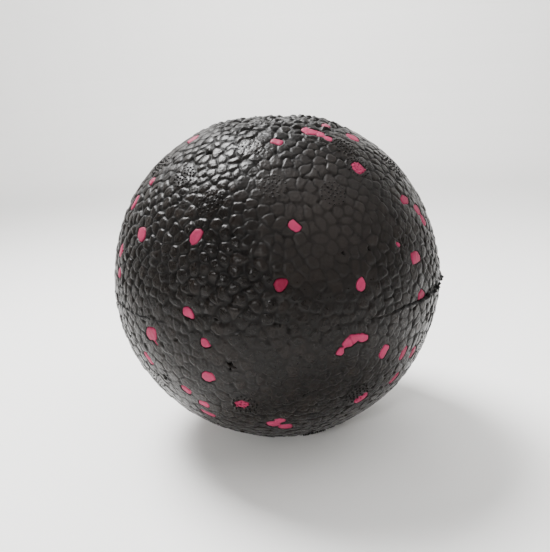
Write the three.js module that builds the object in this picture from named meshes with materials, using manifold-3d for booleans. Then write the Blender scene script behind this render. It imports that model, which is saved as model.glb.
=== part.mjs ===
// A moulded bead-foam ball. One black body of steam-fused foam beads fills the mould, and pink foam
// beads are scattered through it, each pressed into the black ones around it.
// The frame is in millimetres, with the origin at the ball's centre and +Z along the axis in which
// the two mould halves close, so the parting line lies in the XY plane.
import * as THREE from "three";
import { mergeVertices } from "three/addons/utils/BufferGeometryUtils.js";
import Module from "manifold-3d";

const wasm = await Module();
wasm.setup();

// The ball and its two pole flats, where the filling nozzle and the ejector pin meet the foam.
const ballDiameter = 80;
const upperFlatDiameter = 19;
const lowerFlatDiameter = 19;

// The flash that the parting line leaves round the equator.
const flashHeight = 0.4;
const flashWidth = 1.2;

// Steam vents leave a low round pad each.
const ventDiameter = 6;
const ventRise = 0.2;

// A bead's depth below the surface, the share of its width that its inner end narrows by on each
// side, how far its corners stand out, and the gap all round it. Each bead is drawn out past the
// surface by beadOverrun before it is trimmed to the ball.
const beadDepth = 2.6;
const beadTaper = 0.2;
const beadCornering = 0.06;
const beadGap = 0.3;
const beadOverrun = 1;

// How finely round shapes are stepped.
const ballSides = 48;
const ballSteps = 11;
const ventSides = 10;

// The bead scatter on the far side: how many, and the least angle between two of them.
const farBeads = 23;
const farSpacing = 15;
const farSeed = 29;

const ballRadius = ballDiameter / 2;
const black = { color: 0x2b2826, roughness: 0.55, metalness: 0 };
const pink = { color: 0xb6536f, roughness: 0.55, metalness: 0 };
const radians = THREE.MathUtils.degToRad;

// One oval of a bead, seen from outside with north up: its middle from the bead's own middle, its
// size, the turn of its length from east towards north, and how many soft corners it has.
const lobe = (east, north, length, width, turn, corners) =>
  ({ east, north, length, width, turn, corners });
const bead = (longitude, latitude, ...lobes) => ({ longitude, latitude, lobes });
const single = (longitude, latitude, length, width, turn, corners) =>
  bead(longitude, latitude, lobe(0, 0, length, width, turn, corners));

// The near side's beads, by longitude from the near side's middle and latitude from the equator.
const nearBeads = [
  single(-74, 62, 4.6, 3.6, 160, 5),
  single(4, 61, 3.3, 2.6, 150, 4),
  single(-66, 42, 3.0, 2.6, 10, 5),
  single(-71, 33, 4.2, 2.6, 85, 5),
  single(-53, 25, 4.2, 3.5, 150, 5),
  single(-26.5, 27, 4.2, 3.1, 73, 4),
  single(-67, 17, 3.6, 2.6, 95, 5),
  single(-65, 10, 3.2, 2.4, 80, 5),
  single(-27.5, 4.5, 3.5, 2.7, 325, 3),
  bead(-43.5, -5, lobe(0, 0, 4.6, 3.5, 34, 5), lobe(0.9, -2.0, 1.9, 0.9, 315, 4)),
  single(-22.5, -4.5, 3.1, 2.4, 125, 4),
  single(-50, -16, 4.4, 2.4, 118, 4),
  single(-23.5, -16.5, 3.9, 3.2, 15, 4),
  single(-35, -24.5, 3.2, 2.5, 140, 5),
  single(-29.5, -30, 3.4, 2.8, 150, 4),
  single(-31, -36, 4.4, 2.4, 154, 4),
  single(-14, -27, 3.3, 2.7, 10, 5),
  bead(-2, -39, lobe(-1.1, 0, 3.8, 3.4, 0, 4), lobe(1.5, -1.9, 3.9, 3.4, 175, 4),
    lobe(0.5, 1.6, 3.1, 2.6, 10, 4)),
  single(1, 13.5, 3.5, 2.8, 45, 3),
  single(25.5, 11, 3.3, 2.7, 75, 3),
  single(52, 1.5, 3.8, 2.8, 150, 5),
  bead(21.5, -5.5, lobe(0, 0, 4.8, 2.8, 35, 5), lobe(2.9, 0, 3.6, 2.4, 165, 5),
    lobe(-2.3, -2.1, 2.7, 2.0, 65, 4)),
  single(34.5, -12.5, 4.2, 2.6, 55, 4),
  single(45, -16.5, 4.4, 2.3, 60, 4),
  single(52.5, -19, 3.8, 2.6, 60, 5),
  single(45.5, -27, 4.2, 2.4, 40, 4),
  single(30, -30.5, 4.4, 3.2, 40, 4),
  bead(31, 66, lobe(0, 0, 3.5, 4.0, 0, 5), lobe(2.0, -1.4, 2.8, 3.2, 0, 5),
    lobe(3.1, -3.4, 2.9, 2.7, 150, 4)),
  single(66, 59, 4.4, 3.6, 150, 5),
  single(58, 68, 3.6, 2.6, 27, 5),
  single(42, 46.5, 4.2, 3.8, 30, 5),
  single(58, 32, 4.2, 2.8, 0, 5),
  bead(65, 27, lobe(0, 0, 3.8, 3.2, 150, 5), lobe(0.7, -2.8, 3.4, 3.0, 100, 4)),
  single(43, 20, 2.0, 1.5, 150, 4),
  single(51, 14, 4.6, 3.3, 0, 4),
  single(6.5, 30, 3.5, 2.5, 130, 4),
];

// The near side's vents, and the ring of them low on the ball. The far side repeats the near side's
// vents half a turn round, with one more between the two sets on each flank.
const nearVents = [
  [-43, 46], [-24, 38], [-12, 59], [0, 43], [-72, 48], [23, 39], [42, 47], [45, 56], [72, 44],
  [-52, -25], [-13, -27], [27, -27], [60, -18],
];
const flankVent = [94, -24];
const lowVents = 5;
const lowVentLatitude = -58;

// Turns a closed geometry into a solid that can be joined and cut, and a solid back into a geometry.
function toSolid(geometry) {
  const bare = geometry.clone();
  bare.deleteAttribute("normal");
  bare.deleteAttribute("uv");
  const merged = mergeVertices(bare, 1e-4);
  return new wasm.Manifold(new wasm.Mesh({
    numProp: 3,
    vertProperties: new Float32Array(merged.attributes.position.array),
    triVerts: new Uint32Array(merged.index.array),
  }));
}

function toGeometry(solid) {
  const mesh = solid.getMesh();
  const geometry = new THREE.BufferGeometry();
  geometry.setAttribute("position", new THREE.BufferAttribute(mesh.vertProperties, 3));
  geometry.setIndex(new THREE.BufferAttribute(mesh.triVerts, 1));
  geometry.computeVertexNormals();
  return geometry;
}

// The frame of a place on the ball, at a given height from its centre: X east, Y north, Z outward.
function placeOnBall(longitude, latitude, height) {
  const lon = radians(longitude);
  const lat = radians(latitude);
  const out = new THREE.Vector3(
    Math.sin(lon) * Math.cos(lat), -Math.cos(lon) * Math.cos(lat), Math.sin(lat));
  const east = new THREE.Vector3(Math.cos(lon), Math.sin(lon), 0);
  const north = new THREE.Vector3().crossVectors(out, east);
  return new THREE.Matrix4().makeBasis(east, north, out).setPosition(out.multiplyScalar(height));
}

// The whole ball, turned about its axis: a flat at each pole, round sides and the flash ridge.
function makeBall() {
  const onSide = (angle) =>
    new THREE.Vector2(Math.cos(angle) * ballRadius, Math.sin(angle) * ballRadius);
  const lowerRim = -Math.acos(lowerFlatDiameter / ballDiameter);
  const upperRim = Math.acos(upperFlatDiameter / ballDiameter);
  const flashEdge = flashWidth / ballDiameter;
  const profile = [new THREE.Vector2(0, onSide(lowerRim).y)];
  for (let step = 0; step <= ballSteps; step++) {
    profile.push(onSide(THREE.MathUtils.lerp(lowerRim, -flashEdge, step / ballSteps)));
  }
  profile.push(new THREE.Vector2(ballRadius + flashHeight, 0));
  for (let step = 0; step <= ballSteps; step++) {
    profile.push(onSide(THREE.MathUtils.lerp(flashEdge, upperRim, step / ballSteps)));
  }
  profile.push(new THREE.Vector2(0, onSide(upperRim).y));
  return toSolid(new THREE.LatheGeometry(profile, ballSides).rotateX(Math.PI / 2));
}

// A vent's pad: a short plug whose flat top stands proud of the ball at its rim.
function makeVentPad([longitude, latitude]) {
  const rimDepth = ballRadius - Math.sqrt(ballRadius ** 2 - (ventDiameter / 2) ** 2);
  const height = 2 * (ventRise + rimDepth);
  const pad = new THREE.CylinderGeometry(ventDiameter / 2, ventDiameter / 2, height, ventSides)
    .rotateX(Math.PI / 2)
    .applyMatrix4(placeOnBall(longitude, latitude, ballRadius - rimDepth + ventRise - height / 2));
  return toSolid(pad);
}

// One lobe's outline, an oval with soft corners, grown all round by a margin.
function lobeShape({ length, width, corners }, margin) {
  const sides = corners < 4 ? corners * 3 : corners * 2;
  const firstCorner = corners === 4 ? Math.PI / 4 : 0;
  const points = Array.from({ length: sides }, (_, index) => {
    const angle = (index / sides) * 2 * Math.PI;
    const reach = 1 + beadCornering * Math.cos(corners * (angle - firstCorner));
    return new THREE.Vector2(
      (length / 2 + margin) * reach * Math.cos(angle),
      (width / 2 + margin) * reach * Math.sin(angle));
  });
  return new THREE.Shape(points);
}

// A bead as a pebble that narrows inward and runs out past the ball's surface, grown by a margin.
function makePebble({ longitude, latitude, lobes }, margin) {
  const place = placeOnBall(longitude, latitude, ballRadius - beadDepth - margin);
  const parts = lobes.map((each) => {
    const narrowing = beadTaper * each.width;
    const depth = beadDepth + margin;
    const pebble = new THREE.ExtrudeGeometry(lobeShape(each, margin), {
      depth: beadOverrun, steps: 1, bevelEnabled: true, bevelSegments: 1,
      bevelThickness: depth, bevelSize: narrowing, bevelOffset: -narrowing,
    });
    pebble.translate(0, 0, depth).rotateZ(radians(each.turn))
      .translate(each.east, each.north, 0).applyMatrix4(place);
    return toSolid(pebble);
  });
  return parts.reduce((joined, part) => joined.add(part));
}

// Steady pseudo-random numbers between 0 and 1, the same on every run.
function makeRandom(seed) {
  const modulus = 2147483647;
  const factor = 16807;
  let state = seed;
  return () => (state = (state * factor) % modulus) / modulus;
}

// The far side's beads, scattered with an even chance everywhere and never closer than farSpacing.
function scatterFarBeads() {
  const random = makeRandom(farSeed);
  const between = (low, high) => THREE.MathUtils.lerp(low, high, random());
  const outward = ({ longitude, latitude }) =>
    new THREE.Vector3().setFromMatrixPosition(placeOnBall(longitude, latitude, 1));
  const taken = nearBeads.map(outward);
  const nearMiddle = outward(bead(0, 17));
  const found = [];
  while (found.length < farBeads) {
    const longitude = between(-180, 180);
    const latitude = THREE.MathUtils.radToDeg(Math.asin(between(-0.94, 0.94)));
    const candidate = single(longitude, latitude,
      between(3.0, 4.4), between(2.2, 3.2), between(0, 180), random() < 0.5 ? 4 : 5);
    const out = outward(candidate);
    const isFree = taken.every((other) => other.angleTo(out) > radians(farSpacing));
    if (isFree && out.dot(nearMiddle) < 0.15) {
      found.push(candidate);
      taken.push(out);
    }
  }
  return found;
}

// A mesh whose geometry is moved into its own place's frame, so that the place is the mesh's own.
function makeMesh(name, solid, place, finish) {
  const geometry = toGeometry(solid).applyMatrix4(place.clone().invert());
  const mesh = new THREE.Mesh(geometry, new THREE.MeshStandardMaterial(finish));
  mesh.name = name;
  mesh.applyMatrix4(place);
  return mesh;
}

const halfTurnOn = ([longitude, latitude]) => [longitude + 180, latitude];
const vents = [
  ...nearVents, flankVent, ...nearVents.map(halfTurnOn), halfTurnOn(flankVent),
  ...Array.from({ length: lowVents }, (_, index) => [20 + (index * 360) / lowVents, lowVentLatitude]),
];
const ventedBall = vents.map(makeVentPad).reduce((whole, pad) => whole.add(pad), makeBall());

const group = new THREE.Group();
group.name = "bead_foam_ball";
const beads = [...nearBeads, ...scatterFarBeads()];
const pockets = beads.map((each) => makePebble(each, beadGap));
const body = pockets.reduce((rest, pocket) => rest.subtract(pocket), ventedBall);
group.add(makeMesh("foam_body", body, new THREE.Matrix4(), black));

const pinkBeads = new THREE.Group();
group.add(pinkBeads);
beads.forEach((each, index) => {
  const kind = each.lobes.length > 1 ? "pink_bead_cluster" : "pink_bead";
  const name = `${kind}_${String(index + 1).padStart(2, "0")}`;
  const place = placeOnBall(each.longitude, each.latitude, ballRadius);
  pinkBeads.add(makeMesh(name, makePebble(each, 0).intersect(ventedBall), place, pink));
});

export default group;
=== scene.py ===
# %% [markdown]
# # A moulded bead-foam ball
#
# The ball is expanded polypropylene, the springy foam of cycle helmets and model aeroplanes. The maker fills
# a two-part mould with small black foam beads and a few pink ones, and blows steam through it. The beads
# swell, press flat against the mould and against each other, and weld together. What the eye sees is that
# history: a skin of pebble-shaped beads with fine grooves between them, tiny pits where three beads failed
# to meet, a line where the mould halves closed, and patches of small nubs where the steam came in.
#
# The CAD model is the frame: it says how big the ball is, where each pink bead sits and where the vents are.
# This file gives it the surface.

# %% Load the frame
import math

import bpy
import numpy as np
from mathutils import Matrix, Vector
from mathutils.bvhtree import BVHTree
from mathutils.kdtree import KDTree


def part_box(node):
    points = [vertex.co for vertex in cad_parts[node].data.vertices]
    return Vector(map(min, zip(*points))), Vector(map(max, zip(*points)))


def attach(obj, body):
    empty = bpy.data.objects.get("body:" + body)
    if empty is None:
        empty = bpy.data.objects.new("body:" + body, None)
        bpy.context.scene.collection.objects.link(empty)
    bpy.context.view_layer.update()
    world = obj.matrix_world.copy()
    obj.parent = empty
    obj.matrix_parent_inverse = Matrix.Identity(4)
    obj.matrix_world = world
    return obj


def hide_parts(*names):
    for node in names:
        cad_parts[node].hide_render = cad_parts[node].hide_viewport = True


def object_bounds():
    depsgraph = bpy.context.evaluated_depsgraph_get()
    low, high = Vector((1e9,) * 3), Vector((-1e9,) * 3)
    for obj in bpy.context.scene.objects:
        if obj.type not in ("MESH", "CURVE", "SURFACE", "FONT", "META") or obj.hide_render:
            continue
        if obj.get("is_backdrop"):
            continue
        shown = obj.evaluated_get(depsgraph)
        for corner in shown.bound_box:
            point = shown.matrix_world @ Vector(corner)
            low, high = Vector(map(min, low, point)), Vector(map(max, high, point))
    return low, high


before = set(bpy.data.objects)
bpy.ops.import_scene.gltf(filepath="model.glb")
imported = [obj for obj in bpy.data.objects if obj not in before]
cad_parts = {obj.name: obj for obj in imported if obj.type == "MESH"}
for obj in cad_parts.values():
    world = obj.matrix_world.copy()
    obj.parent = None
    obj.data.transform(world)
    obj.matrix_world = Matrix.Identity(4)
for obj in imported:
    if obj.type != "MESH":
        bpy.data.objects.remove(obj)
cad_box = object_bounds()
mm = 0.001
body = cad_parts["foam_body"]
pink_nodes = sorted(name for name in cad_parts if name.startswith("pink_bead"))
print("CAD nodes:", len(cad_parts), "of them pink:", len(pink_nodes))

# %% [markdown]
# ## The camera
#
# The ball is seen from a little above its parting line and from close by, about two ball diameters away, so
# the camera gets a normal lens and stands where a person's eye would. It leans over by a few degrees,
# because the ball does not stand quite straight to it. Building the camera's axes by hand makes the lean
# exact.

# %% The camera
camera_height = math.radians(16.6)
camera_lean = math.radians(2.5)
camera_distance = 174.7 * mm

towards_camera = Vector((0, -math.cos(camera_height), math.sin(camera_height)))
level_right = Vector((1, 0, 0))
level_up = towards_camera.cross(level_right)
right = math.cos(camera_lean) * level_right - math.sin(camera_lean) * level_up
up = math.sin(camera_lean) * level_right + math.cos(camera_lean) * level_up

camera_data = bpy.data.cameras.new("camera")
camera_data.sensor_width = 36
camera_data.lens = 45
camera_data.shift_x = -0.003
camera_data.shift_y = -0.0034
camera = bpy.data.objects.new("camera", camera_data)
camera.matrix_world = Matrix.Translation(towards_camera * camera_distance) @ Matrix(
    (right, up, towards_camera)
).transposed().to_4x4()
bpy.context.scene.collection.objects.link(camera)
bpy.context.scene.camera = camera
print("camera at", tuple(round(value, 3) for value in camera.location))

# %% [markdown]
# ## Measure the ball
#
# Most corners of the CAD body lie on the ball's surface, a few stand higher on the parting line, and the
# rest lie lower, in the pockets and on the flats. The third quartile of their distances from the centre is
# therefore the ball's radius. All shapes below are worked out in millimetres, because foam beads and vents
# are measured so, and only turned into metres when a mesh is made.


# %% Measure the ball
def corners_of(node):
    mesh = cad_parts[node].data
    flat = np.empty(len(mesh.vertices) * 3)
    mesh.vertices.foreach_get("co", flat)
    return flat.reshape(-1, 3) / mm


def unit(vectors):
    return vectors / np.linalg.norm(vectors, axis=-1, keepdims=True)


surface_percentile = 75
body_corners = corners_of("foam_body")
ball_radius = float(np.percentile(np.linalg.norm(body_corners, axis=1), surface_percentile))
body_low, body_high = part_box("foam_body")
lower_flat, upper_flat = body_low.z / mm, body_high.z / mm
flash_reach = body_high.x / mm - ball_radius
print(f"ball radius {ball_radius:.2f} mm, flash {flash_reach:.2f} mm")
print(f"flats at {lower_flat:.2f} and {upper_flat:.2f} mm")

# %% [markdown]
# ## Find the vents
#
# A steam vent is a small round plug in the mould wall, and the foam pressed against it keeps its flat face.
# In the CAD body those faces are the only ones that stand above the ball's radius away from the parting
# line, and their normals point straight out at the vents, so the mesh itself says where each one is.

# %% Find the vents
vent_radius = 3.0
least_rise = 0.05
parting_band = 1.5
straight_out, same_way = 0.99, 0.999


def find_vents():
    found = []
    for face in body.data.polygons:
        points = body_corners[list(face.vertices)]
        is_raised = np.linalg.norm(points, axis=1).min() > ball_radius + least_rise
        if not is_raised or abs(points[:, 2]).min() < parting_band:
            continue
        normal = np.array(face.normal)
        is_new = all(normal @ other < same_way for other in found)
        if is_new and normal @ unit(points.mean(axis=0)) > straight_out:
            found.append(normal)
    return np.array(found)


vents = find_vents()
print("vents:", len(vents))

# %% [markdown]
# ## Directions on the ball
#
# Places are given as longitude from the ball's near side and latitude from the parting line, as on a globe.
# A local frame at such a place has one axis to the east, one to the north and one straight out.


# %% Directions and local frames
def direction(longitude, latitude):
    lon, lat = math.radians(longitude), math.radians(latitude)
    return np.array([math.sin(lon) * math.cos(lat), -math.cos(lon) * math.cos(lat), math.sin(lat)])


def local_axes(out):
    east = unit(np.cross([0, 0, 1.0], out))
    return east, np.cross(out, east)


def blend(low, high, share):
    return low + (high - low) * share


def ease(value):
    value = np.clip(value, 0, 1)
    return value * value * (3 - 2 * value)


def near_place(directions, longitude, latitude, reach):
    """1 at a place on the ball, falling softly to 0 at reach degrees from it."""
    angle = np.degrees(np.arccos(np.clip(directions @ direction(longitude, latitude), -1, 1)))
    return ease(1 - angle / reach)


def strongest(directions, places):
    """The strongest of several places, each given as longitude, latitude, reach and strength."""
    return np.maximum.reduce([strength * near_place(directions, *place) for *place, strength in places])


# %% [markdown]
# ## Wandering values
#
# Nothing on moulded foam is quite even. Wherever a shape should wander a little, its amount comes from a few
# sines that run in random directions: smooth, never repeating on the ball, and the same each time, because
# the random generator is seeded.

# %% Waves
dice = np.random.default_rng(41)
wave_ways = unit(dice.normal(size=(3, 5, 3)))
wave_starts = dice.uniform(0, 2 * math.pi, size=(3, 5))


def waves(points, length):
    """Three smooth wandering values of about -1 to 1 for each point, which repeat over about that length."""
    turns = np.einsum("...k,cjk->...cj", points, wave_ways) * 2 * math.pi / length
    return np.sin(turns + wave_starts).sum(axis=-1) / math.sqrt(5)


# %% [markdown]
# ## Outlines of the pink beads
#
# Each pink bead of the CAD model is a solid with a faceted outline. A grid of rays dropped on it tells which
# points of the ball lie on the bead. From that mask comes a signed distance: below zero on the bead, above
# zero off it. Averaging the distance with its neighbours rounds the corners off, as the soft bead itself
# would. The distance is all that the later steps need: it shapes the bead, its groove and the black foam
# around it.

# %% Signed distance to one bead's outline
grid_step = 0.1
grid_reach = 5.6
grid_line = np.arange(-grid_reach, grid_reach + grid_step / 2, grid_step)
grid_east, grid_north = np.meshgrid(grid_line, grid_line)
rounding_passes = 2
edge_inset = 0.1
edge_wander, edge_wave = 0.13, 2.0


def signed_distance(mask):
    padded = np.pad(mask, 1)
    is_inner = padded[:-2, 1:-1] & padded[2:, 1:-1] & padded[1:-1, :-2] & padded[1:-1, 2:]
    edge_at = np.argwhere(mask & ~is_inner)
    cells = np.argwhere(np.ones_like(mask))
    squared = np.full(len(cells), np.inf)
    for spot in edge_at:
        np.minimum(squared, ((cells - spot) ** 2).sum(axis=1), out=squared)
    gap = np.sqrt(squared).reshape(mask.shape) * grid_step
    return np.where(mask, -gap - grid_step / 2, gap - grid_step / 2)


def soften(values, passes):
    for _ in range(passes):
        wide = np.pad(values, 1, mode="edge")
        height, width = values.shape
        values = sum(wide[i : i + height, j : j + width] for i in range(3) for j in range(3)) / 9
    return values


# %% An outline on the ball
class Outline:
    """A pink bead's outline on the ball, as a signed distance in millimetres around its middle."""

    def __init__(self, out):
        self.out = out
        self.east, self.north = local_axes(out)

    def drawn_from(self, mask):
        """The same outline, with its edge taken from a mask on the grid."""
        places = self.raise_up(grid_east, grid_north) * ball_radius
        rounded = soften(signed_distance(mask), rounding_passes) + edge_inset
        self.distance = rounded + edge_wander * waves(places, edge_wave)[..., 0]
        self.area = mask.sum() * grid_step**2
        return self

    def flatten(self, directions):
        """How far east and north of the bead's middle each direction is, as arcs in millimetres."""
        east, north = directions @ self.east, directions @ self.north
        sine = np.hypot(east, north)
        stretch = ball_radius * np.arcsin(np.clip(sine, 0, 1)) / np.maximum(sine, 1e-9)
        return east * stretch, north * stretch

    def raise_up(self, east, north):
        """The direction from the ball's centre to each place given by its arcs."""
        arc = np.hypot(east, north)
        turn = (arc / ball_radius)[..., None]
        side = east[..., None] * self.east + north[..., None] * self.north
        side = side / np.maximum(arc, 1e-9)[..., None]
        return self.out * np.cos(turn) + side * np.sin(turn)

    def at(self, east, north):
        """The signed distance at each place, read between the grid's four nearest points."""
        last = len(grid_line) - 1.001
        col, row = (np.clip((arc + grid_reach) / grid_step, 0, last) for arc in (east, north))
        c, r = col.astype(int), row.astype(int)
        d, across, along = self.distance, col - c, row - r
        lower = blend(d[r, c], d[r, c + 1], across)
        upper = blend(d[r + 1, c], d[r + 1, c + 1], across)
        return blend(lower, upper, along)


# %% Outlines of the CAD model's beads
ray_start, ray_length = 2 * ball_radius, 1.2 * ball_radius


def outline_of_node(node):
    corners = corners_of(node)
    sides = [tuple(side.vertices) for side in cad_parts[node].data.polygons]
    tree = BVHTree.FromPolygons(corners.tolist(), sides)
    outline = Outline(unit((corners.min(axis=0) + corners.max(axis=0)) / 2))
    rays = map(Vector, outline.raise_up(grid_east, grid_north).reshape(-1, 3).tolist())
    hits = [tree.ray_cast(ray * ray_start, -ray, ray_length)[0] is not None for ray in rays]
    return outline.drawn_from(np.array(hits).reshape(grid_east.shape))


outlines = {node: outline_of_node(node) for node in pink_nodes}
areas = [outline.area for outline in outlines.values()]
print(f"pink beads from {min(areas):.1f} to {max(areas):.1f} mm2")

# %% [markdown]
# ## More pink beads on the far side
#
# The CAD model has room for only so many separate parts, so its far side is short of pink beads. A few more
# are added there by drawing ovals, wherever there is room. A seeded generator throws the same dice on each
# run.

# %% More pink beads on the far side
extra_count = 34
extra_spacing = math.cos(math.radians(10))
near_side = direction(0, 17)
far_enough, off_the_flats = 0.1, 0.95
oval_lengths, oval_widths, oval_corners = (2.8, 4.6), (2.3, 3.3), (4, 7)
corner_swell = 0.07


def drawn_oval(length, width, turn, corners):
    along = grid_east * math.cos(turn) + grid_north * math.sin(turn)
    across = grid_north * math.cos(turn) - grid_east * math.sin(turn)
    reach = 1 + corner_swell * np.cos(corners * np.arctan2(across, along))
    return (2 * along / length) ** 2 + (2 * across / width) ** 2 < reach**2


while len(outlines) < len(pink_nodes) + extra_count:
    out = unit(dice.normal(size=3))
    length, width = dice.uniform(*oval_lengths), dice.uniform(*oval_widths)
    turn, corners = dice.uniform(0, math.pi), dice.integers(*oval_corners)
    is_free = all(out @ other.out < extra_spacing for other in outlines.values())
    if is_free and out @ near_side < far_enough and abs(out[2]) < off_the_flats:
        name = f"pink_bead_extra_{len(outlines) - len(pink_nodes) + 1:02d}"
        outlines[name] = Outline(out).drawn_from(drawn_oval(length, width, turn, corners))
print("pink beads in all:", len(outlines))

# %% Distance to the nearest pink bead
pink_reach = 3.0


def nearest_pink(directions):
    """The signed distance from each direction to the nearest pink bead, at most pink_reach."""
    nearest = np.full(len(directions), pink_reach)
    for outline in outlines.values():
        close = np.nonzero(directions @ outline.out > math.cos(grid_reach / ball_radius))[0]
        nearest[close] = np.minimum(nearest[close], outline.at(*outline.flatten(directions[close])))
    return nearest


# %% [markdown]
# ## Where the black beads are
#
# Beads swell until they meet, so each one ends up owning the part of the wall that is nearest to it. That is
# a Voronoi pattern, the same that soap bubbles and giraffes have. A spiral spreads the beads evenly, a
# random push breaks its order, and two rounds of moving each bead to the middle of what it owns make the
# sizes alike without making them regular. Beads that would fall on a pink one are taken away first, so that
# the rest close up around it, and fewer are kept where the foam was filled with larger ones.

# %% Spread the black beads
bead_spacing = 2.7
hexagon_share = 0.866
bead_count = round(4 * math.pi * ball_radius**2 / (hexagon_share * bead_spacing**2))
golden_angle = math.pi * (3 - math.sqrt(5))
push_share = 0.42
pink_clearance = 0.9
samples_per_bead, rounds = 14, 2
# Where beads are larger, and the share of them that is therefore missing.
large_bead_places = [(-6, 40, 26, 0.14), (-16, 14, 24, 0.08), (150, 30, 40, 0.3), (-120, -35, 40, 0.3)]


def spiral(count):
    height = 1 - 2 * (np.arange(count) + 0.5) / count
    turn = golden_angle * np.arange(count)
    ring = np.sqrt(1 - height**2)
    return np.stack([ring * np.cos(turn), ring * np.sin(turn), height], axis=1)


def nearest_beads(points, centres, count):
    tree = KDTree(len(centres))
    for index, centre in enumerate(centres):
        tree.insert(centre, index)
    tree.balance()
    return np.array([[found[1] for found in tree.find_n(point, count)] for point in points.tolist()])


def spread_beads():
    push = dice.normal(scale=push_share * bead_spacing, size=(bead_count, 3))
    centres = unit(spiral(bead_count) * ball_radius + push)
    centres = centres[dice.random(bead_count) > strongest(centres, large_bead_places)]
    centres = centres[nearest_pink(centres) > pink_clearance]
    samples = spiral(samples_per_bead * bead_count)
    samples = samples[nearest_pink(samples) > 0]
    for _ in range(rounds):
        owner = nearest_beads(samples, centres, 1)[:, 0]
        total = centres * 1e-3
        np.add.at(total, owner, samples)
        centres = unit(total)
    return centres * ball_radius


bead_centres = spread_beads()
print("black beads:", len(bead_centres))

# %% [markdown]
# ## A grid that wraps the ball
#
# The skin needs an even mesh all round, with no poles where the triangles crowd. A cube whose faces are
# bulged out to a sphere gives that. Each of its six grids also becomes one tile of the UV map, so the map
# has no overlaps. The corners are counted in whole numbers, which lets the grids be welded along their
# shared edges exactly.

# %% The wrapped grid
skin_cells = 300
cube_faces = [(axis, sign) for axis in range(3) for sign in (-1, 1)]
tile_margin = 0.01


def wrapped_grid(cells):
    """Directions to a welded grid's corners, its quads, and the UV of each quad's corners."""
    line = np.arange(cells + 1)
    lattice, quads, places = [], [], []
    for tile, (axis, sign) in enumerate(cube_faces):
        u, v = np.meshgrid(line, line, indexing="ij")
        points = np.empty((cells + 1, cells + 1, 3), int)
        points[..., axis] = cells if sign > 0 else 0
        points[..., (axis + 1) % 3] = u if sign > 0 else cells - u
        points[..., (axis + 2) % 3] = v
        number = np.arange((cells + 1) ** 2).reshape(cells + 1, cells + 1) + tile * (cells + 1) ** 2
        around = [number[:-1, :-1], number[1:, :-1], number[1:, 1:], number[:-1, 1:]]
        quads.append(np.stack([corner.ravel() for corner in around], axis=1))
        lattice.append(points.reshape(-1, 3))
        inside = tile_margin + (1 - 2 * tile_margin) * np.stack([u, v], axis=-1).reshape(-1, 2) / cells
        places.append((inside + [tile % 3, tile // 3]) / [3, 2])
    lattice, quads, places = map(np.concatenate, (lattice, quads, places))
    corners, weld = np.unique(lattice, axis=0, return_inverse=True)
    directions = unit(np.tan((corners / cells - 0.5) * math.pi / 2))
    return directions, weld.reshape(-1)[quads], places[quads]


skin_directions, skin_quads, skin_places = wrapped_grid(skin_cells)
print("skin corners:", len(skin_directions), "quads:", len(skin_quads))

# %% [markdown]
# ## How far each part of the ball is from being flush
#
# Where the mould was hot and well filled, the beads were pressed flat and the skin is nearly smooth. Where
# it was cooler they kept more of their round shape. These soft patches say which is which, from 0, flush, to
# 1, fully domed. The poles are the roughest, because the foam there was the last to be steamed.

# %% Flush and domed patches
least_doming, pole_doming = 0.07, 1.3
domed_places = [
    (-60, 26, 36, 0.7), (-80, -16, 46, 0.6), (-22, 30, 30, 0.42), (-10, 12, 24, 0.4), (84, -6, 58, 0.7),
    (64, 46, 26, 0.4), (-24, 56, 30, 0.45), (0, -66, 30, 0.3), (34, 12, 34, 0.24), (24, 46, 32, 0.24),
    (-50, 57, 26, 0.62), (12, 58, 22, 0.42), (2, 28, 22, 0.28), (180, 30, 60, 0.6), (130, -30, 50, 0.5),
]
pole_latitude, flat_latitude = 60, 74
pole_wander, pole_wave = 3.5, 15.0


def poleness(directions):
    """0 on most of the ball, rising to 1 at the flats."""
    latitude = np.degrees(np.arcsin(np.clip(np.abs(directions[:, 2]), 0, 1)))
    latitude = latitude + pole_wander * waves(directions * ball_radius, pole_wave)[:, 0]
    return ease((latitude - pole_latitude) / (flat_latitude - pole_latitude))


def doming(directions):
    amount = np.maximum(least_doming, strongest(directions, domed_places))
    return np.maximum(amount, pole_doming * poleness(directions))


# %% [markdown]
# ## The beads' skin
#
# The height of the skin at a point depends on its distance from the nearest groove, which is where it is as
# close to a second bead as to its own. Each bead is a low cushion that rolls off towards its grooves. It
# also sits a little higher or lower than its neighbours and leans a little, and at a few corners three beads
# left a hole open. A gentle warp of the points beforehand keeps the grooves from being straight, and taking
# a soft minimum of the distances to all of a bead's sides rounds its corners.

# %% Bead cells
height_spread, lean_spread = 0.07, 0.045
bead_height = dice.normal(scale=height_spread, size=len(bead_centres))
bead_lean = dice.normal(scale=lean_spread, size=(len(bead_centres), 3))
bead_tone = dice.random(len(bead_centres)) ** 2
warp_length, warp_size = 2.2, 0.22
corner_rounding, crown_reach = 0.3, 1.5
beads_in_reach = 5
# Any large, unrelated numbers will do here: they only stir the beads' numbers.
stirring, stirring_size = np.array([12.9898, 78.233, 37.719]), 43758.5


def corner_luck(near):
    """The same random number for all points round a corner, from the numbers of its three beads."""
    mixed = np.sin(np.sort(near, axis=1) @ stirring) * stirring_size
    return mixed - np.floor(mixed)


def bead_cells(points):
    """For each point its bead, the distances to the nearest groove and corner, that corner's luck, and how
    near the point is to the bead's crown."""
    near = nearest_beads(points, bead_centres, beads_in_reach)
    centres = bead_centres[near]
    squared = ((points[:, None] - centres) ** 2).sum(axis=2)
    span = np.linalg.norm(centres[:, 1:] - centres[:, :1], axis=2)
    to_sides = (squared[:, 1:] - squared[:, :1]) / (2 * span)
    to_groove = -corner_rounding * np.log(np.exp(-to_sides / corner_rounding).sum(axis=1))
    crown = 1 - squared[:, 0] / crown_reach**2
    return near[:, 0], to_groove, to_sides[:, 1], corner_luck(near[:, :3]), crown


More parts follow.
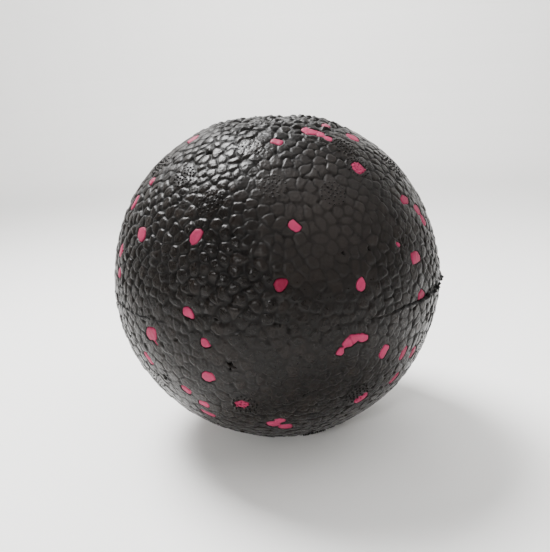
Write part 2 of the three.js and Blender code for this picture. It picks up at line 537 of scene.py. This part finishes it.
# %% [markdown]
# ## Open holes
#
# Here and there the beads did not meet at all. Such a hole is dark because it is deep, so it has to be real
# depth in the mesh; it is also painted darker, as painted shade. Each is given as a place, a length and a
# width in millimetres, and a tilt in degrees.

# %% Open holes
# Longitude, latitude, length, width and tilt. The first three cross each other and make a star.
open_holes = [
    (-15, -11, 1.2, 0.6, 20), (-15, -11, 1.9, 0.3, -35), (-15, -11, 1.6, 0.25, 75),
    (9, -23, 3.2, 0.6, 25), (-18, 3.4, 1.2, 0.3, 0), (21, 21, 0.9, 0.6, 40),
    (30.5, 20.5, 0.9, 0.6, -30), (-37, 56.5, 1.4, 0.8, 10), (-43.5, -21.5, 1.3, 0.8, 60),
    (45.5, 20.5, 1.6, 0.6, 80), (-1, 2, 1.3, 0.22, 5), (5, 1, 1.2, 0.2, -3),
    (160, 12, 2.2, 0.9, 30), (-140, -20, 1.5, 1.0, 0), (115, 35, 1.6, 0.7, 60), (-165, 40, 1.4, 0.8, 20),
]
hole_wander, hole_wave = 0.35, 1.1
hole_steepness, hole_edge = 1.5, 1.25
beside_hole = 0.99


def hole_depth(directions):
    """1 in the middle of an open hole and 0 outside all of them."""
    depth = np.zeros(len(directions))
    for longitude, latitude, length, width, tilt in open_holes:
        out = direction(longitude, latitude)
        east, north = local_axes(out)
        close = np.nonzero(directions @ out > beside_hole)[0]
        x, y = directions[close] @ east * ball_radius, directions[close] @ north * ball_radius
        turn = math.radians(tilt)
        along = x * math.cos(turn) + y * math.sin(turn)
        across = y * math.cos(turn) - x * math.sin(turn)
        reach = np.hypot(2 * along / length, 2 * across / width)
        reach *= 1 + hole_wander * waves(directions[close] * ball_radius, hole_wave)[:, 0]
        depth[close] = np.maximum(depth[close], ease(hole_steepness * (1 - reach / hole_edge)))
    return depth


# %% [markdown]
# ## The closed seam
#
# Towards its thin end the flash turns into a crease: the two mould halves pinched the foam there instead of
# letting it out. It is a narrow line along the parting line, sunk a little into the skin and painted dark as
# painted shade.

# %% The seam
seam_middle, seam_reach = 52, 27
seam_half_width, seam_depth, seam_fade = 0.34, 0.35, 2.2
seam_wander, seam_wave = 0.22, 9.0


def seam(directions):
    """1 on the crease along the parting line, falling to 0 beside it and towards its ends."""
    longitudes = np.degrees(np.arctan2(directions[:, 0], -directions[:, 1]))
    along = ease(seam_fade * (1 - np.abs(longitudes - seam_middle) / seam_reach))
    middle = seam_wander * waves(directions * ball_radius, seam_wave)[:, 0]
    return along * ease(1 - np.abs(directions[:, 2] * ball_radius - middle) / seam_half_width)


# %% [markdown]
# ## The shape of one bead's face
#
# A bead's face is a low cushion. Flush beads are flat with a thin groove round them, and domed ones roll off
# over most of their width. Each has its own small height and lean, so that the skin doesn't look stamped.

# %% A bead's face
flush_width, domed_width = 0.3, 1.0
flush_depth, domed_depth = 0.06, 0.5
crown_rise, crown_foot, pole_loss = 0.22, -0.3, 0.6
round_places = [(-18, 15, 26, 0.4)]
flush_offset, domed_offset, pole_offset = 0.5, 1.3, 1.6


def roll_off(distance, width, depth):
    """The rounded shoulder of a bead: 0 on its flat, falling to -depth at the groove."""
    return -depth * (1 - np.sqrt(1 - (1 - np.clip(distance / width, 0, 1)) ** 2))


def bead_relief(directions, own, to_edge, crown, domed, rough):
    """Height of the beads' faces at each direction."""
    width, depth = blend(flush_width, domed_width, domed), blend(flush_depth, domed_depth, domed)
    crowned = crown_rise * domed * (1 - pole_loss * rough) + strongest(directions, round_places)
    height = roll_off(to_edge, width, depth) + crowned * np.clip(crown, crown_foot, 1)
    lean = ((directions * ball_radius - bead_centres[own]) * bead_lean[own]).sum(axis=1)
    offset = (bead_height[own] + lean) * ease(to_edge / width) * blend(flush_offset, domed_offset, domed)
    return height + offset * (1 + pole_offset * rough)


# %% [markdown]
# ## The height of the skin
#
# All these shapes add up to one number for each point: how far the skin stands above or below the ball. On a
# vent the beads are pressed nearly flat, and under a pink bead the skin drops into a pocket.

# %% Height of the skin
swell_length, swell_size = 26.0, 0.13
grain_length, grain_size = 0.9, 0.018
pit_share, pit_reach, pit_depth, flush_pit = 0.3, 0.6, 0.6, 0.5
pink_margin = 0.6
open_hole_depth = 1.3
vent_rise, vent_edge, vent_relief = 0.08, 0.35, 0.3
seat_edge, seat_depth, seat_slope = 0.3, 1.5, 0.5
# Painted shade in the grooves: how far it reaches from a groove, and how dark it is on flush and on domed
# beads.
groove_reach, flush_groove, domed_groove = 0.34, 0.2, 0.9
# Painted shade: how much darker the corner pits and the rough band by the flats are painted.
pit_shade, pole_shade = 0.7, 0.45
# Where the black is greyer and duller.
grey_places = [(18, 35, 30, 1.0), (-86, 54, 34, 1.0)]


def swell(directions):
    """The ball is not quite round: its radius drifts by a tenth of a millimetre or so."""
    return swell_size * waves(directions * ball_radius, swell_length)[..., 2]


def skin_heights(directions):
    """Height above the ball at each direction, and for the material: tone, painted shade and greyness."""
    points = directions * ball_radius
    own, to_groove, to_corner, luck, crown = bead_cells(points + warp_size * waves(points, warp_length))
    to_pink, domed, rough = nearest_pink(directions), doming(directions), poleness(directions)
    to_edge = np.minimum(to_groove, np.maximum(to_pink, 0))
    height = bead_relief(directions, own, to_edge, crown, domed, rough)
    pit = np.where(luck < pit_share, 1 - luck / pit_share, 0) * ease(1 - to_corner / pit_reach)
    pit *= blend(flush_pit, 1, domed)
    hole, crease = hole_depth(directions), seam(directions)
    height -= pit_depth * pit * ease(to_pink / pink_margin) + open_hole_depth * hole + seam_depth * crease
    to_vent = ball_radius * np.arccos(np.clip(directions @ vents.T, -1, 1)).min(axis=1)
    on_vent = ease((vent_radius - to_vent) / vent_edge)
    height = blend(height, vent_relief * height + vent_rise, on_vent)
    seat = -seat_edge - seat_depth * (1 - np.exp(to_pink / seat_slope))
    height = np.where(to_pink < 0, seat, height)
    height += swell(directions) + grain_size * waves(points, grain_length)[:, 0]
    # Painted shade: grooves, pits, open holes, the seam crease and the band by the flats are painted darker.
    groove = blend(flush_groove, domed_groove, np.minimum(1, 2 * domed)) * (1 - on_vent)
    groove = groove * (1 - ease(to_edge / groove_reach))
    groove = np.maximum.reduce([groove, pit_shade * pit, hole, crease, pole_shade * rough])
    return height, bead_tone[own], groove, strongest(directions, grey_places)


skin_height, skin_tone, skin_groove, skin_dryness = skin_heights(skin_directions)
print(f"skin from {skin_height.min():.2f} to {skin_height.max():.2f} mm")

# %% [markdown]
# ## Making a mesh piece
#
# Every piece is made the same way: corners in millimetres and faces go in, and an object comes out that
# rides on the ball's one body. Numbers that the material needs, such as each bead's tone, are stored on the
# mesh as attributes, which a shader can read by name.


# %% Make a piece from corners and faces
def make_piece(name, corners, faces, slot, **attributes):
    mesh = bpy.data.meshes.new(name)
    mesh.from_pydata((np.asarray(corners) * mm).tolist(), [], faces)
    for attribute_name, values in attributes.items():
        attribute = mesh.attributes.new(attribute_name, "FLOAT", "POINT")
        attribute.data.foreach_set("value", np.asarray(values, np.float32))
    mesh.polygons.foreach_set("use_smooth", [True] * len(mesh.polygons))
    mesh.update()
    piece = bpy.data.objects.new(name, mesh)
    bpy.context.scene.collection.objects.link(piece)
    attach(piece, "root")
    return piece


# %% [markdown]
# ## The black skin
#
# The skin stands for the CAD body and keeps its flats: it is cut back softly to just below them, and no bead
# on a flat rises above it.

# %% The black skin
flat_room, flat_rounding = 0.42, 0.2
steepest = 0.5


def flattened(directions, heights):
    """Radii of the finished skin, with the ball's own radius cut back near the flats."""
    flat = np.where(directions[:, 2] > 0, upper_flat, -lower_flat)
    rise = np.maximum(np.abs(directions[:, 2]), steepest)
    to_flat = (flat - flat_room) / rise
    apart = np.abs(ball_radius - to_flat)
    rounded = np.minimum(ball_radius, to_flat) - flat_rounding * np.log1p(np.exp(-apart / flat_rounding))
    return np.minimum(rounded + heights, flat / rise)


skin_radius = flattened(skin_directions, skin_height)
skin = make_piece(
    "foam_skin", skin_directions * skin_radius[:, None], skin_quads.tolist(), "black_foam",
    bead_tone=skin_tone, groove=skin_groove, dryness=skin_dryness,
)
skin.data.uv_layers.new(name="OFBake").data.foreach_set("uv", skin_places.astype(np.float32).ravel())
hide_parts("foam_body")
print("skin made with", len(skin.data.polygons), "faces")

# %% [markdown]
# ## The pink beads
#
# A pink bead is a pebble pressed flush with the wall: its top is a low cushion with a round shoulder, and
# unseen below it narrows into the foam. It is meshed on a square grid laid over its outline. The grid's
# points next to the outline are first moved onto it, so that the edge is smooth instead of stepped. The same
# grid then gives the top and the underside, and a narrow band joins the two.
#
# Some pink spots are several pink beads side by side. Their outline is shared out among as many beads as
# their area asks for, and shallow grooves are sunk between them.

# %% Whole patches of faces
smallest_patch = 24


def edges_of(face):
    return zip(face, face[1:] + face[:1])


def border_edges(faces):
    """Edges that belong to one face only, in the direction in which that face runs."""
    edges = {edge for face in faces for edge in edges_of(face)}
    return [(a, b) for a, b in edges if (b, a) not in edges]


def whole_patches(faces):
    """The faces without the crumbs: small groups that share no edge with the rest."""
    owner = {edge: index for index, face in enumerate(faces) for edge in edges_of(face)}
    left, kept = set(range(len(faces))), []
    while left:
        front = [left.pop()]
        for index in front:
            beside = {owner.get((b, a)) for a, b in edges_of(faces[index])} & left
            left -= beside
            front += sorted(beside)
        if len(front) >= smallest_patch:
            kept += front
    return [faces[index] for index in sorted(kept)]


def without_pinches(faces):
    """The faces without the loosest ones round each corner where the border would touch itself."""
    while True:
        border = border_edges(faces)
        starts = [a for a, b in border]
        pinched = {a for a in starts if starts.count(a) > 1}
        if not pinched:
            return faces
        open_edges = set(border)
        looseness = [
            len(open_edges & set(edges_of(face))) / len(face) if pinched & set(face) else 0
            for face in faces
        ]
        faces = whole_patches([face for face, loose in zip(faces, looseness) if loose < max(looseness)])


# %% Grid over an outline
pebble_step = 0.14
edge_band, least_slope = 0.6, 0.2


def snapped_grid(outline):
    """Places on a grid over the outline, with the edge's points moved onto it, and the faces inside it."""
    line = np.arange(-grid_reach, grid_reach, pebble_step)
    east, north = np.meshgrid(line, line)
    distance = outline.at(east, north)
    slope_north, slope_east = np.gradient(distance, pebble_step)
    is_edge = np.abs(distance) < edge_band * pebble_step
    shift = np.where(is_edge, distance / np.maximum(slope_east**2 + slope_north**2, least_slope), 0)
    is_inside = (distance < 0) | is_edge
    number = np.arange(east.size).reshape(east.shape)
    faces = []
    for row, col in np.argwhere(is_inside[:-1, :-1] | is_inside[1:, 1:]):
        around = [(row, col), (row, col + 1), (row + 1, col + 1), (row + 1, col)]
        kept = [int(number[place]) for place in around if is_inside[place]]
        all_on_edge = all(is_edge[place] for place in around)
        if len(kept) >= 3 and not all_on_edge:
            faces.append(kept)
    faces = without_pinches(whole_patches(faces))
    used, faces_flat = np.unique(np.concatenate(faces), return_inverse=True)
    split = np.cumsum([len(face) for face in faces])[:-1]
    faces = [part.tolist() for part in np.split(faces_flat, split)]
    place = (east - shift * slope_east).ravel()[used], (north - shift * slope_north).ravel()[used]
    return *place, np.where(is_edge, 0, np.minimum(distance, 0)).ravel()[used], faces


# %% Beads that share an outline
single_area, sharing_rounds = 10.5, 12


def shared_out(outline):
    """Middles of the beads that share an outline: each is moved to the middle of what is nearest to it."""
    count = max(1, round(outline.area / single_area))
    row, col = np.nonzero(outline.distance < 0)
    spots = np.stack([grid_line[col], grid_line[row]], axis=1)
    middles = spots[np.linspace(0, len(spots) - 1, count + 2).astype(int)[1:-1]]
    for _ in range(sharing_rounds):
        owner = np.argmin(((spots[:, None] - middles) ** 2).sum(axis=2), axis=1)
        middles = np.array([spots[owner == k].mean(axis=0) for k in range(count)])
    return middles


# %% Shape of a pink bead
rim_drop, crown_width, crown_height = 0.26, 0.62, 0.3
pebble_depth, pebble_taper = 1.1, 1.6
band_height = 0.12
share_width, share_depth, share_fade = 0.5, 0.34, 0.5
relief_spread, slant_spread = 0.03, 0.02
# Painted shade: the pink is painted darker in the grooves between shared beads and round each bead's rim.
share_line, share_shade = 0.3, 0.4
rim_line, rim_shade = 0.16, 0.75


def pebble(outline, relief):
    east, north, distance, faces = snapped_grid(outline)
    place, middles = np.stack([east, north], axis=1), shared_out(outline)
    top = -rim_drop + crown_height + roll_off(-distance, crown_width, crown_height)
    to_share = np.full(len(place), share_width)
    if len(middles) > 1:
        near = np.sort(np.linalg.norm(place[:, None] - middles, axis=2), axis=1)
        wander = edge_wander * waves(outline.raise_up(east, north) * ball_radius, edge_wave)[:, 1]
        to_share = np.minimum(share_width, np.abs((near[:, 1] - near[:, 0]) / 2 + wander))
        top += roll_off(to_share, share_width, share_depth) * ease(-distance / share_fade)
    slant = dice.normal(scale=slant_spread, size=2)
    top += (place @ slant + relief) * ease(-distance / crown_width)
    under = -rim_drop - band_height - pebble_depth * np.sqrt(ease(-distance / pebble_taper))
    out = outline.raise_up(east, north)
    count = len(out)
    radius = ball_radius + swell(out)
    top += grain_size * waves(out * ball_radius, grain_length)[:, 1]
    corners = np.concatenate([out * (radius + top)[:, None], out * (radius + under)[:, None]])
    closed = faces + [[k + count for k in reversed(face)] for face in faces]
    closed += [[b, a, a + count, b + count] for a, b in border_edges(faces)]
    groove = np.maximum(
        share_shade * (1 - ease(to_share / share_line)), rim_shade * (1 - ease(-distance / rim_line))
    )
    return corners, closed, np.concatenate([groove, groove])


# %% [markdown]
# ## Steam vent nubs
#
# The face of a vent plug is drilled with rings of small holes. Foam is pushed a little way into each, and
# leaves a ring pattern of soft nubs, half a millimetre wide. One nub is a small dome; a vent is one in the
# middle and three rings around it. On a few vents the nubs are worn low. Nubs that fall on a pink bead
# belong to that bead, and are pink.

# %% One nub
nub_radius, nub_height, nub_root = 0.23, 0.25, 0.5
nub_sides = 9
nub_widths, nub_heights = (0.8, 1.15), (0.7, 1.2)
nub_profile = [(1.0, -nub_root), (0.95, 0.4 * nub_height), (0.72, 0.8 * nub_height), (0.32, nub_height)]
# Painted shade: black nubs are painted dark, darkest at the root, pink nubs darker at the root only, and on
# worn vents this painted shade is lighter along with the nubs' height.
nub_shade, pink_nub_shade = (0.9, 0.85, 0.75, 0.65), (0.7, 0.2, 0.0, 0.0)


def ring_quads(rings, sides):
    """The quads between rings of corners that are numbered one ring after the other."""
    return [
        [ring * sides + k, ring * sides + (k + 1) % sides,
         (ring + 1) * sides + (k + 1) % sides, (ring + 1) * sides + k]
        for ring in range(rings - 1)
        for k in range(sides)
    ]


def nub(out, shade, strength=1.0):
    """A small dome on the ball, as corners and faces, with a closed foot below the skin."""
    east, north = local_axes(out)
    size, tall = dice.uniform(*nub_widths), dice.uniform(*nub_heights)
    turns = np.arange(nub_sides) * 2 * math.pi / nub_sides
    foot = ball_radius + swell(out) + vent_rise
    corners = [
        out * (foot + height * tall * strength)
        + size * nub_radius * share * (east * math.cos(turn) + north * math.sin(turn))
        for share, height in nub_profile
        for turn in turns
    ]
    faces = ring_quads(len(nub_profile), nub_sides)
    top_ring = (len(nub_profile) - 1) * nub_sides
    faces.append(list(range(top_ring, top_ring + nub_sides)))
    faces.append(list(reversed(range(nub_sides))))
    return np.array(corners), faces, np.repeat(shade, nub_sides) * strength


# %% The nubs of one vent
ring_wander, ring_radii = 0.12, (0.95, 1.05)
# Each ring's radius in millimetres and its number of nubs.
nub_rings = [(0.0, 1), (0.9, 6), (1.75, 10), (2.6, 15)]


def vent_nubs(vent):
    east, north = local_axes(vent)
    start = dice.uniform(0, 2 * math.pi)
    for radius, count in nub_rings:
        for k in range(count):
            turn = start + (k + dice.uniform(-ring_wander, ring_wander)) * 2 * math.pi / count
            shift = radius * dice.uniform(*ring_radii)
            yield unit(vent * ball_radius + shift * (east * math.cos(turn) + north * math.sin(turn)))


# %% All the nubs
well_inside = -0.1
nub_tone = 0.35
# Where the vents are worn, and how much of their nubs is gone.
worn_vents = [(0, 50, 36, 0.8), (60, -18, 18, 0.75), (-52, -25, 18, 0.75)]


def joined(shapes):
    """Many small shapes as one."""
    corners, faces, groove, start = [], [], [], 0
    for shape_corners, shape_faces, shape_groove in shapes:
        corners.append(shape_corners)
        groove.append(shape_groove)
        faces += [[k + start for k in face] for face in shape_faces]
        start += len(shape_corners)
    return np.concatenate(corners), faces, np.concatenate(groove)


nub_places = np.array([place for vent in vents for place in vent_nubs(vent)])
nub_on_pink = nearest_pink(nub_places) < well_inside
black_nubs = nub_places[~nub_on_pink]
nub_corners, nub_faces, nub_groove = joined(
    [nub(out, nub_shade, left) for out, left in zip(black_nubs, 1 - strongest(black_nubs, worn_vents))]
)
nubs = make_piece(
    "vent_nubs", nub_corners, nub_faces, "black_foam",
    groove=nub_groove, bead_tone=np.full(len(nub_corners), nub_tone),
)
print("nubs:", len(nub_places), "of them pink:", int(nub_on_pink.sum()))

# %% [markdown]
# ## The pink pieces
#
# Each pink bead is a piece of its own, with the nubs that fall on it. Every bead gets its own tone, because
# pigment never spreads quite alike, and one is much darker.

# %% The pink pieces
pink_pieces = []
usual_tones = (0.3, 0.9)
own_tones = {"pink_bead_19": -0.6}
same_side = 0.9

for name, outline in outlines.items():
    shapes = [pebble(outline, dice.normal(scale=relief_spread))]
    for out in nub_places[nub_on_pink]:
        if out @ outline.out > same_side and outline.at(*outline.flatten(out[None]))[0] < well_inside:
            shapes.append(nub(out, pink_nub_shade))
    corners, faces, groove = joined(shapes)
    tone = np.full(len(corners), own_tones.get(name, dice.uniform(*usual_tones)))
    piece_name = name + "_skin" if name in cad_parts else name
    piece = make_piece(piece_name, corners, faces, "pink_foam", bead_tone=tone, groove=groove)
    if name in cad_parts:
        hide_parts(name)
    pink_pieces.append(piece)
print("pink pieces:", len(pink_pieces))

# %% [markdown]
# ## The parting line
#
# Where the two mould halves close, a little foam is squeezed into the gap. It stays as a ridge that is beady
# and thick on one side, thin on the other and nearly gone in front. The ridge is one closed tube that runs
# round the ball, and where it is meant to be gone it sinks below the skin.

# %% The ridge round the ball
ridge_steps, ridge_sides = 900, 8
ridge_fade = 1.6
# Longitude and reach in degrees of each stretch of flash, and how strong it is.
ridge_places = [(84, 64, 1.0), (-62, 42, 0.6), (180, 70, 0.65), (-110, 40, 0.5)]
wander_wave, lump_wave = 7.0, 1.7
sunk_height, beady_height = -0.45, 0.15
height_lump, height_wander = 0.24, 0.1
thin_width, thick_width, width_lump = 0.16, 0.42, 0.3
middle_wander, middle_lump = 0.14, 0.1
ridge_root = -0.8
# Painted shade: where the flash is strong the ridge is painted dark, for the shade under its overhang.
shade_start, shade_reach = 0.3, 0.2
ridge_tone = 0.4


def ridge_strength(longitudes):
    strength = np.zeros(len(longitudes))
    for middle, reach, peak in ridge_places:
        apart = np.abs((longitudes - middle + 180) % 360 - 180)
        strength = np.maximum(strength, peak * ease(ridge_fade * (1 - apart / reach)))
    return strength


longitudes = np.arange(ridge_steps) * 360 / ridge_steps
strength = ridge_strength(longitudes)
around = np.array([direction(longitude, 0) for longitude in longitudes])
wander = waves(around * ball_radius, wander_wave)
lumps = waves(around * ball_radius, lump_wave)
uneven_height = height_lump * lumps[:, 0] + height_wander * wander[:, 1]
ridge_height = blend(sunk_height, flash_reach + beady_height, strength) + strength * uneven_height
ridge_width = blend(thin_width, thick_width, strength) * (1 + width_lump * lumps[:, 1])
ridge_middle = middle_wander * wander[:, 0] + middle_lump * strength * lumps[:, 2]
ridge_corners, ridge_faces = [], []
for side in range(ridge_sides):
    turn = 2 * math.pi * side / ridge_sides
    reach = swell(around) + np.where(math.cos(turn) >= 0, ridge_height, ridge_root) * abs(math.cos(turn))
    up_by = ridge_middle + ridge_width * math.sin(turn)
    ridge_corners.append(around * (ball_radius + reach)[:, None] + np.outer(up_by, [0, 0, 1]))
    for k in range(ridge_steps):
        a, b = side * ridge_steps + k, side * ridge_steps + (k + 1) % ridge_steps
        step = ridge_steps if side < ridge_sides - 1 else -side * ridge_steps
        ridge_faces.append([a, b, b + step, a + step])
ridge_corners = np.concatenate(ridge_corners)
ridge_shade = np.tile(ease((strength - shade_start) / shade_reach), ridge_sides)
ridge = make_piece(
    "parting_ridge", ridge_corners, ridge_faces, "black_foam",
    bead_tone=np.full(len(ridge_corners), ridge_tone), groove=ridge_shade,
)
print(f"ridge up to {ridge_height.max():.2f} mm proud")

# %% [markdown]
# ## Colours and shader nodes
#
# Colours are written as the hex values that a paint program shows, and one function turns them into the
# linear values that a shader needs. A second function adds a node, fills in its settings and makes its
# links.

# %% Helpers for materials
def colour(hex_value):
    channels = [int(hex_value[k : k + 2], 16) / 255 for k in (0, 2, 4)]
    linear = [c / 12.92 if c <= 0.04045 else ((c + 0.055) / 1.055) ** 2.4 for c in channels]
    return (*linear, 1)


def add_node(material, kind, values=None, links=None, **settings):
    node = material.node_tree.nodes.new(kind)
    for name, setting in settings.items():
        setattr(node, name, setting)
    for socket, value in (values or {}).items():
        node.inputs[socket].default_value = value
    for socket, source in (links or {}).items():
        material.node_tree.links.new(source, node.inputs[socket])
    return node


def new_material(name):
    material = bpy.data.materials.new(name)
    material.use_nodes = True
    return material, material.node_tree.nodes["Principled BSDF"]


# %% [markdown]
# ## Expanded polypropylene
#
# Polypropylene is a waxy plastic. Pressed against a hot steel mould it gets a skin with a soft gloss, so
# each bead catches a small blurred highlight. The black is carbon black and never quite even: some beads are
# greyer and some are glossier, which the bead's own tone decides, with a slow drift across the ball on top.
# The grooves are duller, because the mould never pressed on them, and they are painted darker as painted
# shade, as are the pits, open holes, seam crease, nubs, flash ridge and the rough band by the flats. Under
# the gloss the skin is finely wrinkled, with folds of about a third of a millimetre, and a coarser dimpling
# of about one millimetre. In a few patches the black is greyer and duller.
#
# The pink beads are the same plastic with a pink pigment, and a little duller. Their rims and the grooves
# between them are painted darker, as painted shade.

# %% Moulded foam
drift_size, wrinkle_size, dimple_size = 4.0 * mm, 0.35 * mm, 1.1 * mm
noise_detail = 3.0
dimple_share, drift_share = 0.9, 0.6
darkest, lightest = 0.5, 1.9
grey_dulling, groove_dulling = 0.3, 0.35
dimple_depth, wrinkle_depth = 0.12 * mm, 0.05 * mm
polypropylene_ior, specular_level = 1.49, 0.15


def moulded_foam(name, dark, light, dry, in_groove, glossiest, dullest):
    material, shader = new_material(name)
    place = add_node(material, "ShaderNodeTexCoord").outputs["Object"]
    tone = add_node(material, "ShaderNodeAttribute", attribute_name="bead_tone").outputs["Fac"]
    groove = add_node(material, "ShaderNodeAttribute", attribute_name="groove").outputs["Fac"]
    dryness = add_node(material, "ShaderNodeAttribute", attribute_name="dryness").outputs["Fac"]
    drift, wrinkle, dimple = (
        add_node(
            material, "ShaderNodeTexNoise", {"Scale": 1 / size, "Detail": noise_detail}, {"Vector": place}
        ).outputs["Fac"]
        for size in (drift_size, wrinkle_size, dimple_size)
    )
    uneven = tone
    for noise, share in ((dimple, dimple_share), (drift, drift_share)):
        uneven = add_node(
            material, "ShaderNodeMath", {1: share}, {0: noise, 2: uneven}, operation="MULTIPLY_ADD"
        ).outputs[0]
    shade = add_node(
        material, "ShaderNodeMapRange", {"From Min": darkest, "From Max": lightest}, {"Value": uneven}
    ).outputs[0]
    # In a Mix node, socket 0 is the share, 6 and 7 are the two colours, and output 2 is their mixture.
    mixture = add_node(
        material, "ShaderNodeMix", {6: colour(dark), 7: colour(light)}, {0: shade}, data_type="RGBA"
    ).outputs[2]
    # Painted shade: the shade share darkens the colour towards near black; the grey share makes it greyer.
    for other, share in ((dry, dryness), (in_groove, groove)):
        mixture = add_node(
            material, "ShaderNodeMix", {7: colour(other)}, {0: share, 6: mixture}, data_type="RGBA"
        ).outputs[2]
    roughness = add_node(
        material, "ShaderNodeMapRange", {"To Min": glossiest, "To Max": dullest}, {"Value": dimple}
    ).outputs[0]
    for dulling, share in ((grey_dulling, dryness), (groove_dulling, groove)):
        roughness = add_node(
            material, "ShaderNodeMath", {1: dulling}, {0: share, 2: roughness}, operation="MULTIPLY_ADD"
        ).outputs[0]
    dimples = add_node(
        material, "ShaderNodeBump", {"Distance": dimple_depth, "Strength": 0.6}, {"Height": dimple}
    )
    wrinkles = add_node(
        material, "ShaderNodeBump", {"Distance": wrinkle_depth, "Strength": 0.7},
        {"Height": wrinkle, "Normal": dimples.outputs[0]},
    )
    material.node_tree.links.new(mixture, shader.inputs["Base Color"])
    material.node_tree.links.new(roughness, shader.inputs["Roughness"])
    material.node_tree.links.new(wrinkles.outputs[0], shader.inputs["Normal"])
    shader.inputs["IOR"].default_value = polypropylene_ior
    shader.inputs["Specular IOR Level"].default_value = specular_level
    return material


# To the eye: a warm black with small sharp highlights, and a dusty pink with broad soft ones.
# The colour for painted shade is the near black that the grooves, pits, nubs and ridge are painted towards.
black_foam = moulded_foam(
    "black_expanded_polypropylene", dark="0a0807", light="17120f", dry="262220", in_groove="030202",
    glossiest=0.18, dullest=0.36,
)
pink_foam = moulded_foam(
    "pink_expanded_polypropylene", dark="660c2a", light="a33559", dry="a33559", in_groove="24040e",
    glossiest=0.42, dullest=0.6,
)
for piece in (skin, nubs, ridge):
    piece.data.materials.append(black_foam)
for piece in pink_pieces:
    piece.data.materials.append(pink_foam)
print("materials:", black_foam.name, pink_foam.name)

# %% [markdown]
# ## The studio
#
# The ball stands on its lower flat in a plain white studio: a sheet of matt paper that runs flat under the
# ball and curves up all round it, so that no horizon shows from any side. White surroundings are what gives
# the dark ball its bright rims, because a glossy skin mirrors most at a grazing angle.

# %% Floor and backdrop
paper_flat, paper_bend, paper_wall = 0.5, 0.4, 0.5
paper_sides, bend_steps = 96, 12
paper_gap = 0.2 * mm

bend = [math.pi / 2 * k / bend_steps for k in range(bend_steps + 1)]
paper_profile = [
    (paper_flat + paper_bend * math.sin(turn), paper_bend * (1 - math.cos(turn))) for turn in bend
]
paper_profile.append((paper_flat + paper_bend, paper_bend + paper_wall))
floor_height = lower_flat * mm - paper_gap
paper_mesh = bpy.data.meshes.new("paper_floor")
paper_turns = [side * 2 * math.pi / paper_sides for side in range(paper_sides)]
paper_corners = [
    (radius * math.cos(turn), radius * math.sin(turn), floor_height + height)
    for radius, height in paper_profile
    for turn in paper_turns
]
paper_faces = [list(range(paper_sides))] + ring_quads(len(paper_profile), paper_sides)
paper_mesh.from_pydata(paper_corners, [], paper_faces)
paper = bpy.data.objects.new("paper_floor", paper_mesh)
bpy.context.scene.collection.objects.link(paper)
paper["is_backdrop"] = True
print("paper floor at", round(floor_height / mm, 2), "mm")

# %% Matt white paper
# Rag paper has a tooth of a few millimetres, too shallow to see as more than a lack of shine.
paper_tooth, tooth_depth = 3 * mm, 0.02 * mm
matt_paper, paper_shader = new_material("matt_white_paper")
paper_grain = add_node(
    matt_paper, "ShaderNodeTexNoise", {"Scale": 1 / paper_tooth},
    {"Vector": add_node(matt_paper, "ShaderNodeTexCoord").outputs["Object"]},
)
grain_bump = add_node(
    matt_paper, "ShaderNodeBump", {"Distance": tooth_depth, "Strength": 0.2},
    {"Height": paper_grain.outputs["Fac"]},
)
matt_paper.node_tree.links.new(grain_bump.outputs[0], paper_shader.inputs["Normal"])
paper_shader.inputs["Base Color"].default_value = colour("f4f3f1")
paper_shader.inputs["Roughness"].default_value = 0.9
paper_mesh.materials.append(matt_paper)

# %% [markdown]
# ## The lamps
#
# The key lamp is a soft box high on the left and behind, which makes the broad sheen on that shoulder. A
# honeycomb grid narrows its spread, so that it doesn't light the paper, which the ball would mirror. A small
# lamp in front puts a point of light on the roundest beads, a wide panel overhead fills the rest, and a lamp
# behind keeps the backdrop pale.


# %% Lamps and surroundings
def soft_lamp(name, place, aim, size, power, spread=180):
    """A square lamp of that size in metres and power in watts, which shines within that many degrees."""
    lamp_data = bpy.data.lights.new(name, "AREA")
    lamp_data.size, lamp_data.energy, lamp_data.spread = size, power, math.radians(spread)
    lamp = bpy.data.objects.new(name, lamp_data)
    lamp.location = place
    lamp.rotation_euler = (Vector(place) - Vector(aim)).to_track_quat("Z", "Y").to_euler()
    bpy.context.scene.collection.objects.link(lamp)


world = bpy.data.worlds.new("white_studio")
world.use_nodes = True
world.node_tree.nodes["Background"].inputs["Color"].default_value = colour("ffffff")
world.node_tree.nodes["Background"].inputs["Strength"].default_value = 0.1
bpy.context.scene.world = world
ball_centre = (0, 0, 0)
paper_behind = (0.03, 0.88, 0.0)
soft_lamp("key_lamp", direction(-135, 57) * 0.6, ball_centre, 0.28, 1.7, spread=60)
soft_lamp("front_lamp", direction(-24, 22) * 0.7, ball_centre, 0.06, 1.7)
soft_lamp("fill_lamp", direction(70, 72) * 0.8, ball_centre, 0.9, 4.6)
soft_lamp("backdrop_lamp", (0.03, 0.5, 0.5), paper_behind, 0.25, 4.6)
print("lamps:", len(bpy.data.lights))

# %% Sizes and finish
visual_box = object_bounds()
sizes = {"cad": [list(corner) for corner in cad_box], "visual": [list(corner) for corner in visual_box]}
print("CAD box:", sizes["cad"])
print("visual box:", sizes["visual"])
